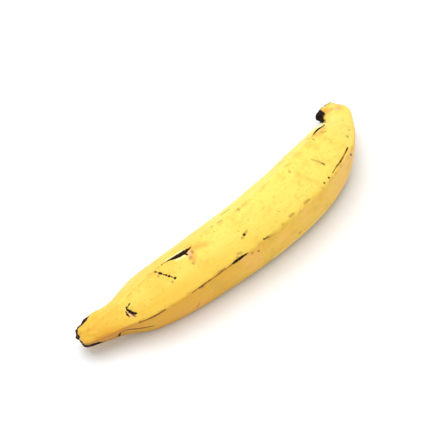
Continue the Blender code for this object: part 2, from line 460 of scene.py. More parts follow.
class NodeDesk:
    """Lays out the nodes of one tree and links them."""

    def __init__(self, tree: bpy.types.NodeTree) -> None:
        """Take the tree to work on.

        Args:
            tree: The node tree, which the desk adds to.
        """
        self.tree = tree

    def add(self, kind: str, *values: object, **settings: object) -> bpy.types.Node:
        """Add a node.

        Args:
            kind: The node's type name.
            values: What goes into its inputs, in order: sockets, numbers or None to skip one.
            settings: Properties to set on the node first.

        Returns:
            The new node.
        """
        node = self.tree.nodes.new(kind)
        for name, value in settings.items():
            setattr(node, name, value)
        for index, value in enumerate(values):
            if isinstance(value, Socket):
                self.tree.links.new(value, node.inputs[index])
            elif value is not None:
                node.inputs[index].default_value = value
        return node

    def math(self, operation: str, *values: object, clamp: bool = False) -> Socket:
        """Add a Math node.

        Args:
            operation: The sum it does.
            values: Its inputs.
            clamp: Whether the result is kept between 0 and 1.

        Returns:
            Its result.
        """
        return self.add("ShaderNodeMath", *values, operation=operation, use_clamp=clamp).outputs[0]

    def vector(self, operation: str, *values: object) -> Socket:
        """Add a Vector Math node and give its vector."""
        return self.add("ShaderNodeVectorMath", *values, operation=operation).outputs["Vector"]

    def measure(self, operation: str, *values: object) -> Socket:
        """Add a Vector Math node and give its number."""
        return self.add("ShaderNodeVectorMath", *values, operation=operation).outputs["Value"]

    def rise(
        self, value: object, low: object, high: object, start: float = 0.0, end: float = 1.0
    ) -> Socket:
        """Turn a value into a smooth step.

        Args:
            value: What is read.
            low: Where the step starts.
            high: Where it ends, which may be less than low.
            start: What it gives before the step.
            end: What it gives after the step.

        Returns:
            The stepped value.
        """
        values = (value, low, high, start, end)
        node = self.add("ShaderNodeMapRange", *values, interpolation_type="SMOOTHSTEP", clamp=False)
        return node.outputs[0]

    def near(self, facing: Socket, outer: float, inner: float) -> Socket:
        """Step from 0 to 1 between two angles.

        Args:
            facing: The cosine of the angle that is read.
            outer: Where the step starts, in degrees.
            inner: Where it ends, in degrees.

        Returns:
            The stepped value.
        """
        return self.rise(facing, math.cos(math.radians(outer)), math.cos(math.radians(inner)))

    def turned(self, bearing: Socket, degrees: float) -> Socket:
        """Give the cosine of how far a bearing is turned from the one given in degrees."""
        return self.math("COSINE", self.math("SUBTRACT", bearing, math.radians(degrees)))

    def noise(self, position: Socket, scale: float, detail: float, roughness: float = 0.5) -> Socket:
        """Add a noise field.

        Args:
            position: Where it is read.
            scale: How many cells there are in a unit.
            detail: How many finer layers it has.
            roughness: How strong those are.

        Returns:
            Its value, about 0.5 on average.
        """
        node = self.add("ShaderNodeTexNoise", position)
        node.inputs["Scale"].default_value = scale
        node.inputs["Detail"].default_value = detail
        node.inputs["Roughness"].default_value = roughness
        return node.outputs[0]

    def pattern(self, position: Socket, pattern: Pattern) -> Socket:
        """Read a pattern of noise at the position."""
        cloudy = self.noise(position, pattern.scale, pattern.detail, pattern.roughness)
        return self.rise(cloudy, pattern.low, pattern.high)

    def mix(self, factor: Socket, first: Socket | Colour, second: Socket | Colour) -> Socket:
        """Mix two colours.

        Args:
            factor: How much of the second shows.
            first: The colour underneath.
            second: The colour on top.

        Returns:
            The mixed colour.
        """
        node = self.tree.nodes.new("ShaderNodeMix")
        node.data_type = "RGBA"
        for name, value in (("Factor_Float", factor), ("A_Color", first), ("B_Color", second)):
            socket = next(item for item in node.inputs if item.identifier == name)
            if isinstance(value, Socket):
                self.tree.links.new(value, socket)
            else:
                socket.default_value = (*value, 1.0)
        return next(item for item in node.outputs if item.identifier == "Result_Color")

    def lay(self, colour: Socket, tint: Tint, *masks: Socket) -> Socket:
        """Lay a tint over a colour.

        Args:
            colour: The colour underneath.
            tint: What is laid over it.
            masks: Where the tint shows: all of them have to show it.

        Returns:
            The tinted colour.
        """
        shown: object = tint.share
        for mask in masks:
            shown = self.math("MULTIPLY", mask, shown)
        return self.mix(shown, colour, tint.colour)


def stroke_group() -> bpy.types.NodeTree:
    """Make the node group that gives 1 inside a tapered stroke and 0 outside it.

    Returns:
        The group, whose inputs are a point, the stroke's start and end, its half width at
        each, and the softness of its edge, all in millimetres.
    """
    tree = bpy.data.node_groups.new("tapered_stroke", "ShaderNodeTree")
    for name, kind in (
        ("Point", "NodeSocketVector"), ("Start", "NodeSocketVector"), ("End", "NodeSocketVector"),
        ("Start width", "NodeSocketFloat"), ("End width", "NodeSocketFloat"), ("Edge", "NodeSocketFloat"),
    ):
        tree.interface.new_socket(name, in_out="INPUT", socket_type=kind)
    tree.interface.new_socket("Mask", in_out="OUTPUT", socket_type="NodeSocketFloat")
    desk = NodeDesk(tree)
    point, start, end, start_width, end_width, edge = list(desk.add("NodeGroupInput").outputs)[:6]
    run = desk.vector("SUBTRACT", end, start)
    reach = desk.vector("SUBTRACT", point, start)
    onto_run = desk.measure("DOT_PRODUCT", reach, run)
    along = desk.math("DIVIDE", onto_run, desk.measure("DOT_PRODUCT", run, run))
    share = desk.math("MAXIMUM", desk.math("MINIMUM", along, 1.0), 0.0)
    scaled = desk.tree.nodes.new("ShaderNodeVectorMath")
    scaled.operation = "SCALE"
    tree.links.new(run, scaled.inputs[0])
    tree.links.new(share, scaled.inputs["Scale"])
    distance = desk.measure("LENGTH", desk.vector("SUBTRACT", reach, scaled.outputs["Vector"]))
    grown = desk.math("SUBTRACT", end_width, start_width)
    width = desk.math("MULTIPLY_ADD", grown, share, start_width)
    outer = desk.math("ADD", width, edge)
    inner = desk.math("SUBTRACT", width, edge)
    desk.add("NodeGroupOutput", desk.rise(distance, outer, inner))
    return tree


def mark_segments(mark: Mark, spine: Spine, section: Section) -> tuple[float, list[tuple]]:
    """Lay a mark's trail out flat.

    Args:
        mark: The mark.
        spine: The fruit's spine.
        section: The fruit's section.

    Returns:
        The radius in millimetres that its bearings are unrolled at, and for each straight
        stretch its start, its end and the half width at each, in millimetres.
    """
    first = mark.trail[0]
    radius = section.half_thickness.value(first[0]) / MM
    length = spine.length / MM
    flat = [(place * length, math.radians(bearing) * radius, width) for place, bearing, width in mark.trail]
    # A single spot is drawn as a very short stroke.
    if len(flat) == 1:
        along, across, width = flat[0]
        flat.append((along + 0.2 * width, across, width))
    pairs = []
    for near, far in zip(flat, flat[1:]):
        pairs.append(((near[0], near[1], 0.0), (far[0], far[1], 0.0), near[2], far[2]))
    return radius, pairs


@dataclass(frozen=True)
class PeelFinish:
    """Waxy ripe peel: yellow that warms towards the tip, specks, marks and dry ends.

    The side is the facet that faces outwards, painted darker gold as shade; the band over it is painted
    shade too, and the edge under it a painted highlight.
    """

    name: str = "ripe_peel"
    lemon: Colour = (0.76, 0.600, 0.108)
    golden: Colour = (0.75, 0.450, 0.050)
    orange: Colour = (0.66, 0.32, 0.030)
    worn_brown: Colour = (0.30, 0.15, 0.030)
    pink: Colour = (0.92, 0.50, 0.16)
    speck_brown: Colour = (0.20, 0.085, 0.020)
    dry_brown: Colour = (0.11, 0.036, 0.009)
    dry_black: Colour = (0.006, 0.003, 0.002)
    clouds: Tint = Tint(orange, 0.42)
    streaks: Tint = Tint(orange, 0.30)
    flecks: Tint = Tint(worn_brown, 0.26)
    # Painted shade: the band darkens the upper facet over the main ridge towards the tip.
    band: Tint = Tint(golden, 0.68)
    # Painted shade on the side facet: gold, deeper brown towards the tip, and near the tip partly real
    # wear.
    side: Tint = Tint((0.92, 0.470, 0.025), 0.52)
    side_tip_shade: Tint = Tint((0.55, 0.22, 0.008), 0.68)
    side_wear_and_shade: Tint = Tint(worn_brown, 0.58)
    side_blush: Tint = Tint(pink, 0.32)
    stalkward_blush: Tint = Tint(pink, 0.34)
    side_dulling: Tint = Tint((0.60, 0.38, 0.040), 0.40)
    # Painted highlight along the lower edge of the side.
    painted_edge_highlight: Tint = Tint((0.96, 0.68, 0.26), 0.60)
    tip_warmth: Tint = Tint(orange, 0.22)
    # Darker olive over the last stretch to the stalk.
    stalk_end_darkening: Tint = Tint((0.36, 0.26, 0.045), 0.22)
    ridge_wear: Tint = Tint(worn_brown, 0.32)
    cloud_pattern: Pattern = Pattern(80.0, 4.0, 0.62, 0.48, 0.74)
    streak_pattern: Pattern = Pattern(1.0, 4.0, 0.62, 0.52, 0.76)
    fleck_pattern: Pattern = Pattern(420.0, 3.0, 0.6, 0.54, 0.74)
    ridge_pattern: Pattern = Pattern(130.0, 3.0, 0.65, 0.44, 0.66)
    fibre_pattern: Pattern = Pattern(700.0, 3.0, 0.7, 0.55, 0.80)
    streak_stretch: tuple[float, float, float] = (7.0, 7.0, 16.0)
    fibre_stretch: tuple[float, float, float] = (26.0, 26.0, 30.0)
    specks: tuple[Specks, ...] = (
        Specks(250.0, 0.17, 0.90, Tint(speck_brown, 0.72)),
        Specks(520.0, 0.22, 0.80, Tint(speck_brown, 0.46)),
    )
    roughness: float = 0.46
    specular: float = 0.17
    subsurface: float = 0.08
    subsurface_mm: float = 2.5
    uneven_shine: float = 0.20
    dry_dulling: float = 0.36
    bump_mm: float = 0.05
    fibre_height: float = 1.3
    crumb_height: float = 4.0
    wander_mm: float = 0.65
    ragged_reach: float = 0.007
    inner_reach: float = 0.028
    side_bearing: float = -6.0
    band_bearing: float = 38.0
    edge_bearing: float = -40.0
    inner_bearing: float = 162.0
    rear_bearing: float = 75.0
    tip_radius_mm: float = 8.7
    marks: tuple[Mark, ...] = field(default_factory=all_marks)

    def make(self, spine: Spine, section: Section) -> bpy.types.Material:
        """Build the material.

        Args:
            spine: The fruit's spine, for the marks' lengths.
            section: The fruit's section, for the marks' widths.

        Returns:
            The finished material.
        """
        material = bpy.data.materials.new(self.name)
        material.use_nodes = True
        desk = NodeDesk(material.node_tree)
        shader = material.node_tree.nodes["Principled BSDF"]
        place, base, round_peel, solid = self.coordinates(desk)

        colour = self.ground_colour(desk, place, round_peel, solid)
        colour = self.worn_ridges(desk, colour, base, solid, section)
        colour, cracked = self.marked_colour(desk, colour, base, solid, spine, section)
        colour, dry = self.dry_ends(desk, colour, base, solid, spine, section)

        links = material.node_tree.links
        links.new(colour, shader.inputs["Base Color"])
        grain = desk.noise(solid, 240.0, 3.0, 0.55)
        shiniest = self.roughness - 0.5 * self.uneven_shine
        shine = desk.math("MULTIPLY_ADD", grain, self.uneven_shine, shiniest)
        worn = desk.math("MAXIMUM", dry, cracked)
        rough = desk.math("MULTIPLY_ADD", worn, self.dry_dulling, shine, clamp=True)
        links.new(rough, shader.inputs["Roughness"])
        shader.inputs["Specular IOR Level"].default_value = self.specular
        shader.inputs["Subsurface Weight"].default_value = self.subsurface
        shader.inputs["Subsurface Scale"].default_value = self.subsurface_mm * MM
        shader.inputs["Subsurface Radius"].default_value = (1.0, 0.5, 0.12)
        links.new(self.fine_bump(desk, round_peel, solid, dry), shader.inputs["Normal"])
        return material

    def coordinates(self, desk: NodeDesk) -> tuple[Socket, Socket, Socket, Socket]:
        """Set out the coordinates that the peel's patterns are read in.

        Args:
            desk: The material's desk.

        Returns:
            The place along the fruit, a vector of the place and the bearing in radians, a
            vector that runs along and round the peel without a seam, and the position in
            the object.
        """
        unrolled = desk.add("ShaderNodeUVMap", uv_map=UV_NAME).outputs[0]
        split = desk.add("ShaderNodeSeparateXYZ", unrolled)
        span = 1.0 - 2.0 * UV_MARGIN
        place = desk.math("MULTIPLY_ADD", split.outputs[0], 1.0 / span, -UV_MARGIN / span)
        turn = math.radians(360.0)
        bearing = desk.math("MULTIPLY_ADD", split.outputs[1], turn, math.radians(SEAM_BEARING))
        base = desk.add("ShaderNodeCombineXYZ", place, bearing, 0.0).outputs[0]
        sideways = desk.math("COSINE", bearing)
        rising = desk.math("SINE", bearing)
        round_peel = desk.add("ShaderNodeCombineXYZ", sideways, rising, place).outputs[0]
        return place, base, round_peel, desk.add("ShaderNodeTexCoord").outputs["Object"]

    def ground_colour(self, desk: NodeDesk, place: Socket, round_peel: Socket, solid: Socket) -> Socket:
        """Mix the peel's own yellow, without its marks.

        Args:
            desk: The material's desk.
            place: The place along the fruit.
            round_peel: A vector that runs along and round the peel without a seam.
            solid: The position in the object.

        Returns:
            The colour.
        """
        broad = desk.noise(solid, 24.0, 2.0)
        ripeness = desk.math("ADD", place, desk.math("MULTIPLY_ADD", broad, 0.9, -0.45))
        colour = desk.mix(desk.rise(ripeness, -0.08, 0.48), self.golden, self.lemon)
        colour = desk.lay(colour, self.clouds, desk.pattern(solid, self.cloud_pattern))
        along = desk.vector("MULTIPLY", round_peel, self.streak_stretch)
        colour = desk.lay(colour, self.streaks, desk.pattern(along, self.streak_pattern))
        colour = desk.lay(colour, self.flecks, desk.pattern(solid, self.fleck_pattern))
        colour = self.side_colour(desk, colour, place, round_peel, solid)
        colour = desk.lay(colour, self.tip_warmth, desk.rise(place, 0.09, 0.0))
        # Darker olive over the last stretch to the stalk.
        colour = desk.lay(colour, self.stalk_end_darkening, desk.rise(place, 0.92, 1.0))
        return self.specked_colour(desk, colour, place, solid)

    def side_colour(
        self, desk: NodeDesk, colour: Socket, place: Socket, round_peel: Socket, solid: Socket
    ) -> Socket:
        """Paint shade on the side, gold and browner towards the tip, with patches, the painted shade of the
        band and the painted highlight of the edge.

        Args:
            desk: The material's desk.
            colour: The colour underneath.
            place: The place along the fruit.
            round_peel: A vector that runs along and round the peel without a seam.
            solid: The position in the object.

        Returns:
            The colour with its side.
        """
        # The side mask carries painted shade: the outward facet turns darker gold, deeper brown towards the
        # tip.
        facing = self.facing(desk, round_peel, self.side_bearing)
        crisp = desk.near(facing, 42.0, 36.0)
        soft = desk.near(facing, 52.0, 26.0)
        softer = desk.rise(place, 0.40, 0.56)
        side = desk.math("MULTIPLY_ADD", softer, desk.math("SUBTRACT", soft, crisp), crisp)

        # Painted shade: a golden band over the main ridge towards the tip.
        above = desk.near(self.facing(desk, round_peel, self.band_bearing), 34.0, 0.0)
        colour = desk.lay(colour, self.band, above, desk.rise(place, 0.62, 0.20))
        colour = desk.lay(colour, self.side, side)
        colour = desk.lay(colour, self.side_tip_shade, side, desk.rise(place, 0.62, -0.15))
        # Painted shade and real wear: darker brown on the side near the tip.
        colour = desk.lay(colour, self.side_wear_and_shade, side, desk.rise(place, 0.15, 0.02))

        patches = desk.noise(solid, 62.0, 3.0)
        inward = desk.math("MULTIPLY", side, desk.rise(place, 0.13, 0.30))
        colour = desk.lay(colour, self.side_blush, inward, desk.rise(patches, 0.52, 0.70))
        colour = desk.lay(colour, self.stalkward_blush, side, desk.rise(place, 0.64, 0.78))
        colour = desk.lay(colour, self.side_dulling, side, desk.rise(patches, 0.48, 0.34))

        # Painted highlight: a pale line along the lower edge of the side, from bounced light.
        below = desk.near(self.facing(desk, round_peel, self.edge_bearing), 8.0, 2.0)
        lit = desk.math("MULTIPLY", desk.rise(place, 0.40, 0.48), desk.rise(place, 0.80, 0.70))
        return desk.lay(colour, self.painted_edge_highlight, below, lit, desk.rise(patches, 0.36, 0.56))

    def facing(self, desk: NodeDesk, round_peel: Socket, bearing: float) -> Socket:
        """Give the cosine of how far each point lies from a bearing."""
        turn = math.radians(bearing)
        return desk.measure("DOT_PRODUCT", round_peel, (math.cos(turn), math.sin(turn), 0.0))

    def worn_ridges(
        self, desk: NodeDesk, colour: Socket, base: Socket, solid: Socket, section: Section
    ) -> Socket:
        """Brown the ridges here and there, where they rub.

        Args:
            desk: The material's desk.
            colour: The colour underneath.
            base: The place and bearing.
            solid: The position in the object.
            section: The fruit's section, which has the ridges' bearings.

        Returns:
            The colour with its worn ridges.
        """
        split = desk.add("ShaderNodeSeparateXYZ", base)
        place, bearing = split.outputs[:2]
        ridged: object = 0.0
        for ridge in section.ridges():
            ridged = desk.math("MAXIMUM", ridged, desk.near(desk.turned(bearing, ridge), 5.0, 0.0))
        inside = desk.math("MULTIPLY", desk.rise(place, 0.04, 0.12), desk.rise(place, 0.88, 0.80))
        broken = desk.pattern(solid, self.ridge_pattern)
        return desk.lay(colour, self.ridge_wear, ridged, broken, inside)

    def specked_colour(self, desk: NodeDesk, colour: Socket, place: Socket, solid: Socket) -> Socket:
        """Scatter fine brown specks, thicker towards both ends.

        Args:
            desk: The material's desk.
            colour: The colour underneath.
            place: The place along the fruit.
            solid: The position in the object.

        Returns:
            The colour with its specks.
        """
        ends = desk.math("MAXIMUM", desk.rise(place, 0.20, 0.02), desk.rise(place, 0.74, 0.92))
        for specks in self.specks:
            cells = desk.add("ShaderNodeTexVoronoi", solid)
            cells.inputs["Scale"].default_value = specks.scale
            spot = desk.rise(cells.outputs["Distance"], specks.radius, 0.4 * specks.radius)
            chance = desk.add("ShaderNodeSeparateXYZ", cells.outputs["Color"]).outputs[0]
            limit = desk.math("MULTIPLY_ADD", ends, -0.30, specks.bare)
            chosen = desk.math("GREATER_THAN", chance, limit)
            colour = desk.lay(colour, specks.tint, spot, chosen)
        return colour

    def marked_colour(
        self, desk: NodeDesk, colour: Socket, base: Socket, solid: Socket, spine: Spine, section: Section
    ) -> tuple[Socket, Socket]:
        """Draw the marks over the peel, the soft ones first.

        Args:
            desk: The material's desk.
            colour: The colour underneath.
            base: The place and bearing.
            solid: The position in the object.
            spine: The fruit's spine.
            section: The fruit's section.

        Returns:
            The colour with its marks, and how far each point is cracked.
        """
        group = stroke_group()
        wander = desk.add("ShaderNodeTexNoise", solid)
        wander.inputs["Scale"].default_value = 900.0
        wander.inputs["Detail"].default_value = 3.0
        swing = (2.0 * self.wander_mm, 2.0 * self.wander_mm, 0.0)
        back = (-self.wander_mm, -self.wander_mm, 0.0)
        offset = desk.vector("MULTIPLY_ADD", wander.outputs["Color"], swing, back)
        cracked: object = 0.0
        for kind in MARK_ORDER:
            finish = MARK_FINISHES[kind]
            covered: object = 0.0
            for mark in self.marks:
                if mark.kind is not kind:
                    continue
                radius, pairs = mark_segments(mark, spine, section)
                point = desk.vector("MULTIPLY_ADD", base, (spine.length / MM, radius, 0.0), offset)
                for start, end, start_width, end_width in pairs:
                    node = desk.add("ShaderNodeGroup", node_tree=group)
                    desk.tree.links.new(point, node.inputs[0])
                    values = (start, end, start_width, end_width, finish.edge_mm)
                    for socket, value in zip(node.inputs[1:], values):
                        socket.default_value = value
                    covered = desk.math("MAXIMUM", covered, node.outputs[0])
            colour = desk.lay(colour, finish.tint, covered)
            if kind in (SCAR, CRACK):
                cracked = desk.math("MAXIMUM", cracked, covered)
        return colour, cracked

    def dry_ends(
        self, desk: NodeDesk, colour: Socket, base: Socket, solid: Socket, spine: Spine, section: Section
    ) -> tuple[Socket, Socket]:
        """Turn both ends dry and dark, the stalk's further down on the inside of the bend.

        Args:
            desk: The material's desk.
            colour: The colour underneath.
            base: The place and bearing.
            solid: The position in the object.
            spine: The fruit's spine.
            section: The fruit's section.

        Returns:
            The colour, and how dry each point is.
        """
        split = desk.add("ShaderNodeSeparateXYZ", base)
        place, bearing = split.outputs[:2]
        tattered = desk.noise(solid, 300.0, 4.0, 0.6)
        ragged = desk.math("MULTIPLY_ADD", tattered, 2.0 * self.ragged_reach, -self.ragged_reach)
        moved = desk.math("ADD", place, ragged)
        inner = desk.turned(bearing, self.inner_bearing)
        moved_stalk = desk.math("MULTIPLY_ADD", desk.rise(inner, 0.78, 0.97), self.inner_reach, moved)

        # The end face of the tip is dark but for its upper part.
        rear = desk.turned(bearing, self.rear_bearing)
        shrinking = spine.length / section.half_thickness.value(1.0)
        reach = desk.math("MULTIPLY_ADD", moved, shrinking * self.tip_radius_mm, self.tip_radius_mm)
        height = desk.math("MULTIPLY", rear, reach)
        tip_brown = desk.math("MULTIPLY", desk.rise(height, 3.6, 1.6), desk.rise(moved, 0.003, -0.001))
        tip_black = desk.math("MULTIPLY", desk.rise(height, 2.4, 1.0), desk.rise(moved, 0.000, -0.003))

        brown = desk.math("MAXIMUM", tip_brown, desk.rise(moved_stalk, 0.992, 1.004))
        black = desk.math("MAXIMUM", tip_black, desk.rise(moved_stalk, 0.998, 1.006))
        colour = desk.mix(brown, colour, self.dry_brown)
        patchy = desk.mix(desk.pattern(solid, self.fibre_pattern), self.dry_black, self.dry_brown)
        return desk.mix(black, colour, patchy), brown

    def fine_bump(self, desk: NodeDesk, round_peel: Socket, solid: Socket, dry: Socket) -> Socket:
        """Roughen the surface with pores, faint lengthwise fibres and crumbs at the dry ends.

        Args:
            desk: The material's desk.
            round_peel: A vector that runs along and round the peel without a seam.
            solid: The position in the object.
            dry: How dry each point is.

        Returns:
            The bumped normal.
        """
        pores = desk.noise(solid, 900.0, 2.0, 0.5)
        along = desk.vector("MULTIPLY", round_peel, self.fibre_stretch)
        fibres = desk.noise(along, 1.0, 3.0, 0.6)
        crumbs = desk.math("MULTIPLY", desk.noise(solid, 1500.0, 3.0, 0.7), dry)
        fibrous = desk.math("MULTIPLY_ADD", fibres, self.fibre_height, pores)
        height = desk.math("ADD", fibrous, desk.math("MULTIPLY", crumbs, self.crumb_height))
        bump = desk.add("ShaderNodeBump")
        bump.inputs["Strength"].default_value = 0.55
        bump.inputs["Distance"].default_value = self.bump_mm * MM
        desk.tree.links.new(height, bump.inputs["Height"])
        return bump.outputs[0]


@dataclass(frozen=True)
class FibreFinish:
    """Dry torn fibres: near black with pale dusty strands."""

    name: str = "dry_fibre"
    dark: Colour = (0.014, 0.007, 0.004)
    pale: Colour = (0.22, 0.14, 0.075)
    strand_pattern: Pattern = Pattern(420.0, 4.0, 0.65, 0.50, 0.72)
    bump_mm: float = 0.15

    def make(self) -> bpy.types.Material:
        """Build the material and give it."""
        material = bpy.data.materials.new(self.name)
        material.use_nodes = True
        desk = NodeDesk(material.node_tree)
        shader = material.node_tree.nodes["Principled BSDF"]
        solid = desk.add("ShaderNodeTexCoord").outputs["Object"]
        strands = desk.pattern(solid, self.strand_pattern)
        links = material.node_tree.links
        links.new(desk.mix(strands, self.dark, self.pale), shader.inputs["Base Color"])
        links.new(desk.rise(strands, 0.0, 1.0, 0.75, 0.92), shader.inputs["Roughness"])
        shader.inputs["Specular IOR Level"].default_value = 0.25
        bump = desk.add("ShaderNodeBump")
        bump.inputs["Strength"].default_value = 0.6
        bump.inputs["Distance"].default_value = self.bump_mm * MM
        links.new(desk.noise(solid, 1600.0, 3.0, 0.7), bump.inputs["Height"])
        links.new(bump.outputs[0], shader.inputs["Normal"])
        return material


def fractal(points: np.ndarray, scale: float, octaves: int, seed: float) -> np.ndarray:
    """Read a fractal noise field.

    Args:
        points: Where to read it, in metres.
        scale: How many cells there are in a metre.
        octaves: How many layers it has.
        seed: Moves the field, so that two readings differ.

    Returns:
        A value for each point, about -1 to 1.
    """
    moved = points * scale + seed
    return np.array([noise.fractal(Vector(row), 1.0, 2.0, octaves) for row in moved])


def pick_faces(mesh: bpy.types.Mesh, wanted: Callable[[bpy.types.MeshPolygon], bool]) -> None:
    """Select some faces of the active object and leave it in edit mode.

    Args:
        mesh: The object's mesh.
        wanted: Tells whether a face is selected.
    """
    bpy.ops.object.mode_set(mode="EDIT")
    bpy.ops.mesh.select_mode(type="FACE")
    bpy.ops.mesh.select_all(action="DESELECT")
    bpy.ops.object.mode_set(mode="OBJECT")
    for face in mesh.polygons:
        face.select = wanted(face)
    bpy.ops.object.mode_set(mode="EDIT")


def turned_away(degrees: np.ndarray, bearing: float) -> np.ndarray:
    """Give how far each bearing is from the one given, from 0 to 180 degrees."""
    return np.abs((degrees - bearing + 180.0) % 360.0 - 180.0)


def bell(distance: np.ndarray, width: float) -> np.ndarray:
    """Give 1 at no distance, falling smoothly to nothing past the width."""
    return np.exp(-((distance / width) ** 2))


def step(values: np.ndarray, low: float, high: float) -> np.ndarray:
    """Give a smooth step from 0 at low to 1 at high, which may be less than low."""
    share = np.clip((values - low) / (high - low), 0.0, 1.0)
    return share * share * (3.0 - 2.0 * share)


@dataclass
class Peel:
    """The whole outer surface of the fruit, closed at both ends.

    The width of a ridge and the gap and width of a hollow are in degrees round the section.
    """

    spine: Spine = field(default_factory=Spine)
    section: Section = field(default_factory=Section)
    finish: PeelFinish = field(default_factory=PeelFinish)
    body_rows: int = 500
    tip_rows: int = 18
    stalk_rows: int = 20
    sides: int = 160
    tip_dome: float = 0.0050
    stalk_dome: float = 0.0025
    flat_depth: float = 0.0008
    row_crowding: float = 0.05
    lump_mm: float = 0.42
    dent_mm: float = 0.10
    ridge_mm: float = 0.52
    ridge_width: float = 3.8
    hollow_mm: float = 0.24
    hollow_gap: float = 13.0
    hollow_width: float = 6.0
    rib_mm: float = 0.16
    fold_mm: float = 0.20
    crease_mm: float = 0.10
    tip_dent_mm: float = 0.16
    cut_width_mm: float = 1.0
    cut_reach_mm: float = 4.0
    full_cut_mm: float = 0.9
    moved: np.ndarray = field(init=False)

    def __post_init__(self) -> None:
        """Work out how the bare form is moved to stand on the ground over the origin."""
        place, shrink, lift = self.row_layout()
        plain, _, _ = self.bare_form(place, shrink, lift)
        low = plain.min(axis=(0, 1))
        high = plain.max(axis=(0, 1))
        middle = 0.5 * (low + high)
        self.moved = -np.array([middle[0], middle[1], low[2] + self.flat_depth])

    def build(self) -> bpy.types.Object:
        """Model the peel.

        Returns:
            The peel's object, standing for the solid.
        """
        rows = self.tip_rows + self.body_rows + self.stalk_rows
        bpy.ops.object.select_all(action="DESELECT")
        bpy.ops.mesh.primitive_grid_add(
            x_subdivisions=rows - 1, y_subdivisions=self.sides, size=1.0, calc_uvs=True
        )
        peel = bpy.context.object
        peel.name = "peel"
        peel.data.name = "peel"
        self.wrap(peel.data, rows)
        bpy.ops.object.mode_set(mode="EDIT")
        bpy.ops.mesh.select_all(action="SELECT")
        bpy.ops.mesh.remove_doubles(threshold=1e-6)
        bpy.ops.mesh.normals_make_consistent(inside=False)
        bpy.ops.object.mode_set(mode="OBJECT")
        peel.data.shade_smooth()
        peel.data.materials.append(self.finish.make(self.spine, self.section))
        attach(peel, BODY)
        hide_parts(NODE)
        return peel

    def row_layout(self) -> tuple[np.ndarray, np.ndarray, np.ndarray]:
        """Set out the rows, with those of the two end faces first and last.

        Returns:
            For each row its place, how much its ring is shrunk, and how far it is lifted out
            of the end face, as a share of the dome's height.
        """
        even = np.linspace(0.0, 1.0, self.body_rows)
        places = even - self.row_crowding * np.sin(2.0 * math.pi * even)
        tip = np.linspace(0.5 * math.pi, 0.0, self.tip_rows, endpoint=False)
        stalk = np.linspace(0.5 * math.pi, 0.0, self.stalk_rows, endpoint=False)[::-1]
        place = np.concatenate((np.zeros(self.tip_rows), places, np.ones(self.stalk_rows)))
        shrink = np.concatenate((np.cos(tip), np.ones(self.body_rows), np.cos(stalk)))
        lift = np.concatenate((np.sin(tip), np.zeros(self.body_rows), np.sin(stalk)))
        shrink[0] = 0.0
        shrink[-1] = 0.0
        return place, shrink, lift

    def wrap(self, mesh: bpy.types.Mesh, rows: int) -> None:
        """Wrap the flat grid round the spine and map it.

        Args:
            mesh: The grid, whose vertices lie in a unit square.
            rows: How many rows of vertices it has along the fruit.
        """
        flat = np.zeros(len(mesh.vertices) * 3)
        mesh.vertices.foreach_get("co", flat)
        flat = flat.reshape(-1, 3)
        row = np.rint((flat[:, 0] + 0.5) * (rows - 1)).astype(int)
        column = np.rint((flat[:, 1] + 0.5) * self.sides).astype(int)
        points = self.surface(rows)[row, column % self.sides]
        mesh.vertices.foreach_set("co", points.ravel())
        self.map_peel(mesh, row, column)
        mesh.update()

    def map_peel(self, mesh: bpy.types.Mesh, row: np.ndarray, column: np.ndarray) -> None:
        """Write the map: along the fruit, then round it.

        Args:
            mesh: The wrapped grid.
            row: Each vertex's row.
            column: Each vertex's column.
        """
        place, shrink, _ = self.row_layout()
        radius = self.section.half_thickness.value(1.0)
        beyond = (1.0 - shrink) * radius / self.spine.length
        extended = np.where(place <= 0.0, -beyond, np.where(place >= 1.0, 1.0 + beyond, place))
        along = UV_MARGIN + (1.0 - 2.0 * UV_MARGIN) * extended
        corner = np.zeros(len(mesh.loops), dtype=int)
        mesh.loops.foreach_get("vertex_index", corner)
        layer = mesh.uv_layers[0]
        layer.name = UV_NAME
        pairs = np.column_stack((along[row[corner]], column[corner] / self.sides))
        layer.data.foreach_set("uv", pairs.ravel())

    def surface(self, rows: int) -> np.ndarray:
        """Work out where the peel's points lie.

        Args:
            rows: How many rows there are.

        Returns:
            The points, by row and column.
        """
        place, shrink, lift = self.row_layout()
        plain, away, forward = self.bare_form(place, shrink, lift)
        bearing = self.bearings()
        relief = self.relief(plain, place, shrink, bearing, rows)
        push = self.end_relief(plain, place, shrink, bearing)
        points = plain + self.moved + relief[:, :, None] * away + push[:, :, None] * forward[:, None, :]
        points[:, :, 2] = np.maximum(points[:, :, 2], 0.0)
        return points

    def bearings(self) -> np.ndarray:
        """Give the bearing of each column in radians, from the seam round to it."""
        return math.radians(SEAM_BEARING) + np.linspace(0.0, 2.0 * math.pi, self.sides, endpoint=False)

    def bare_form(
        self, place: np.ndarray, shrink: np.ndarray, lift: np.ndarray
    ) -> tuple[np.ndarray, np.ndarray, np.ndarray]:
        """Carry the section along the spine, before any relief.

        Args:
            place: Each row's place.
            shrink: How much each row's ring is shrunk.
            lift: How far each row is lifted out of its end face, as a share of the dome.

        Returns:
            The points and the direction that each faces, by row and column, and the
            direction in which the spine runs at each row.
        """
        bearing = self.bearings()
        forward, outward, upward = self.spine.directions(place)
        half = self.section.half_thickness.at(place)
        unit = self.section.radii(bearing, self.section.angularity.at(place))
        turned = bearing[None, :] + np.radians(self.section.twist.at(place))[:, None]
        across = np.cos(turned)[:, :, None] * outward[:, None, :]
        away = across + np.sin(turned)[:, :, None] * upward[:, None, :]
        radius = (half * shrink)[:, None] * unit
        dome = np.where(place <= 0.0, -self.tip_dome, self.stalk_dome) * lift
        middle = self.spine.points(place) + dome[:, None] * forward
        return middle[:, None, :] + radius[:, :, None] * away, away, forward

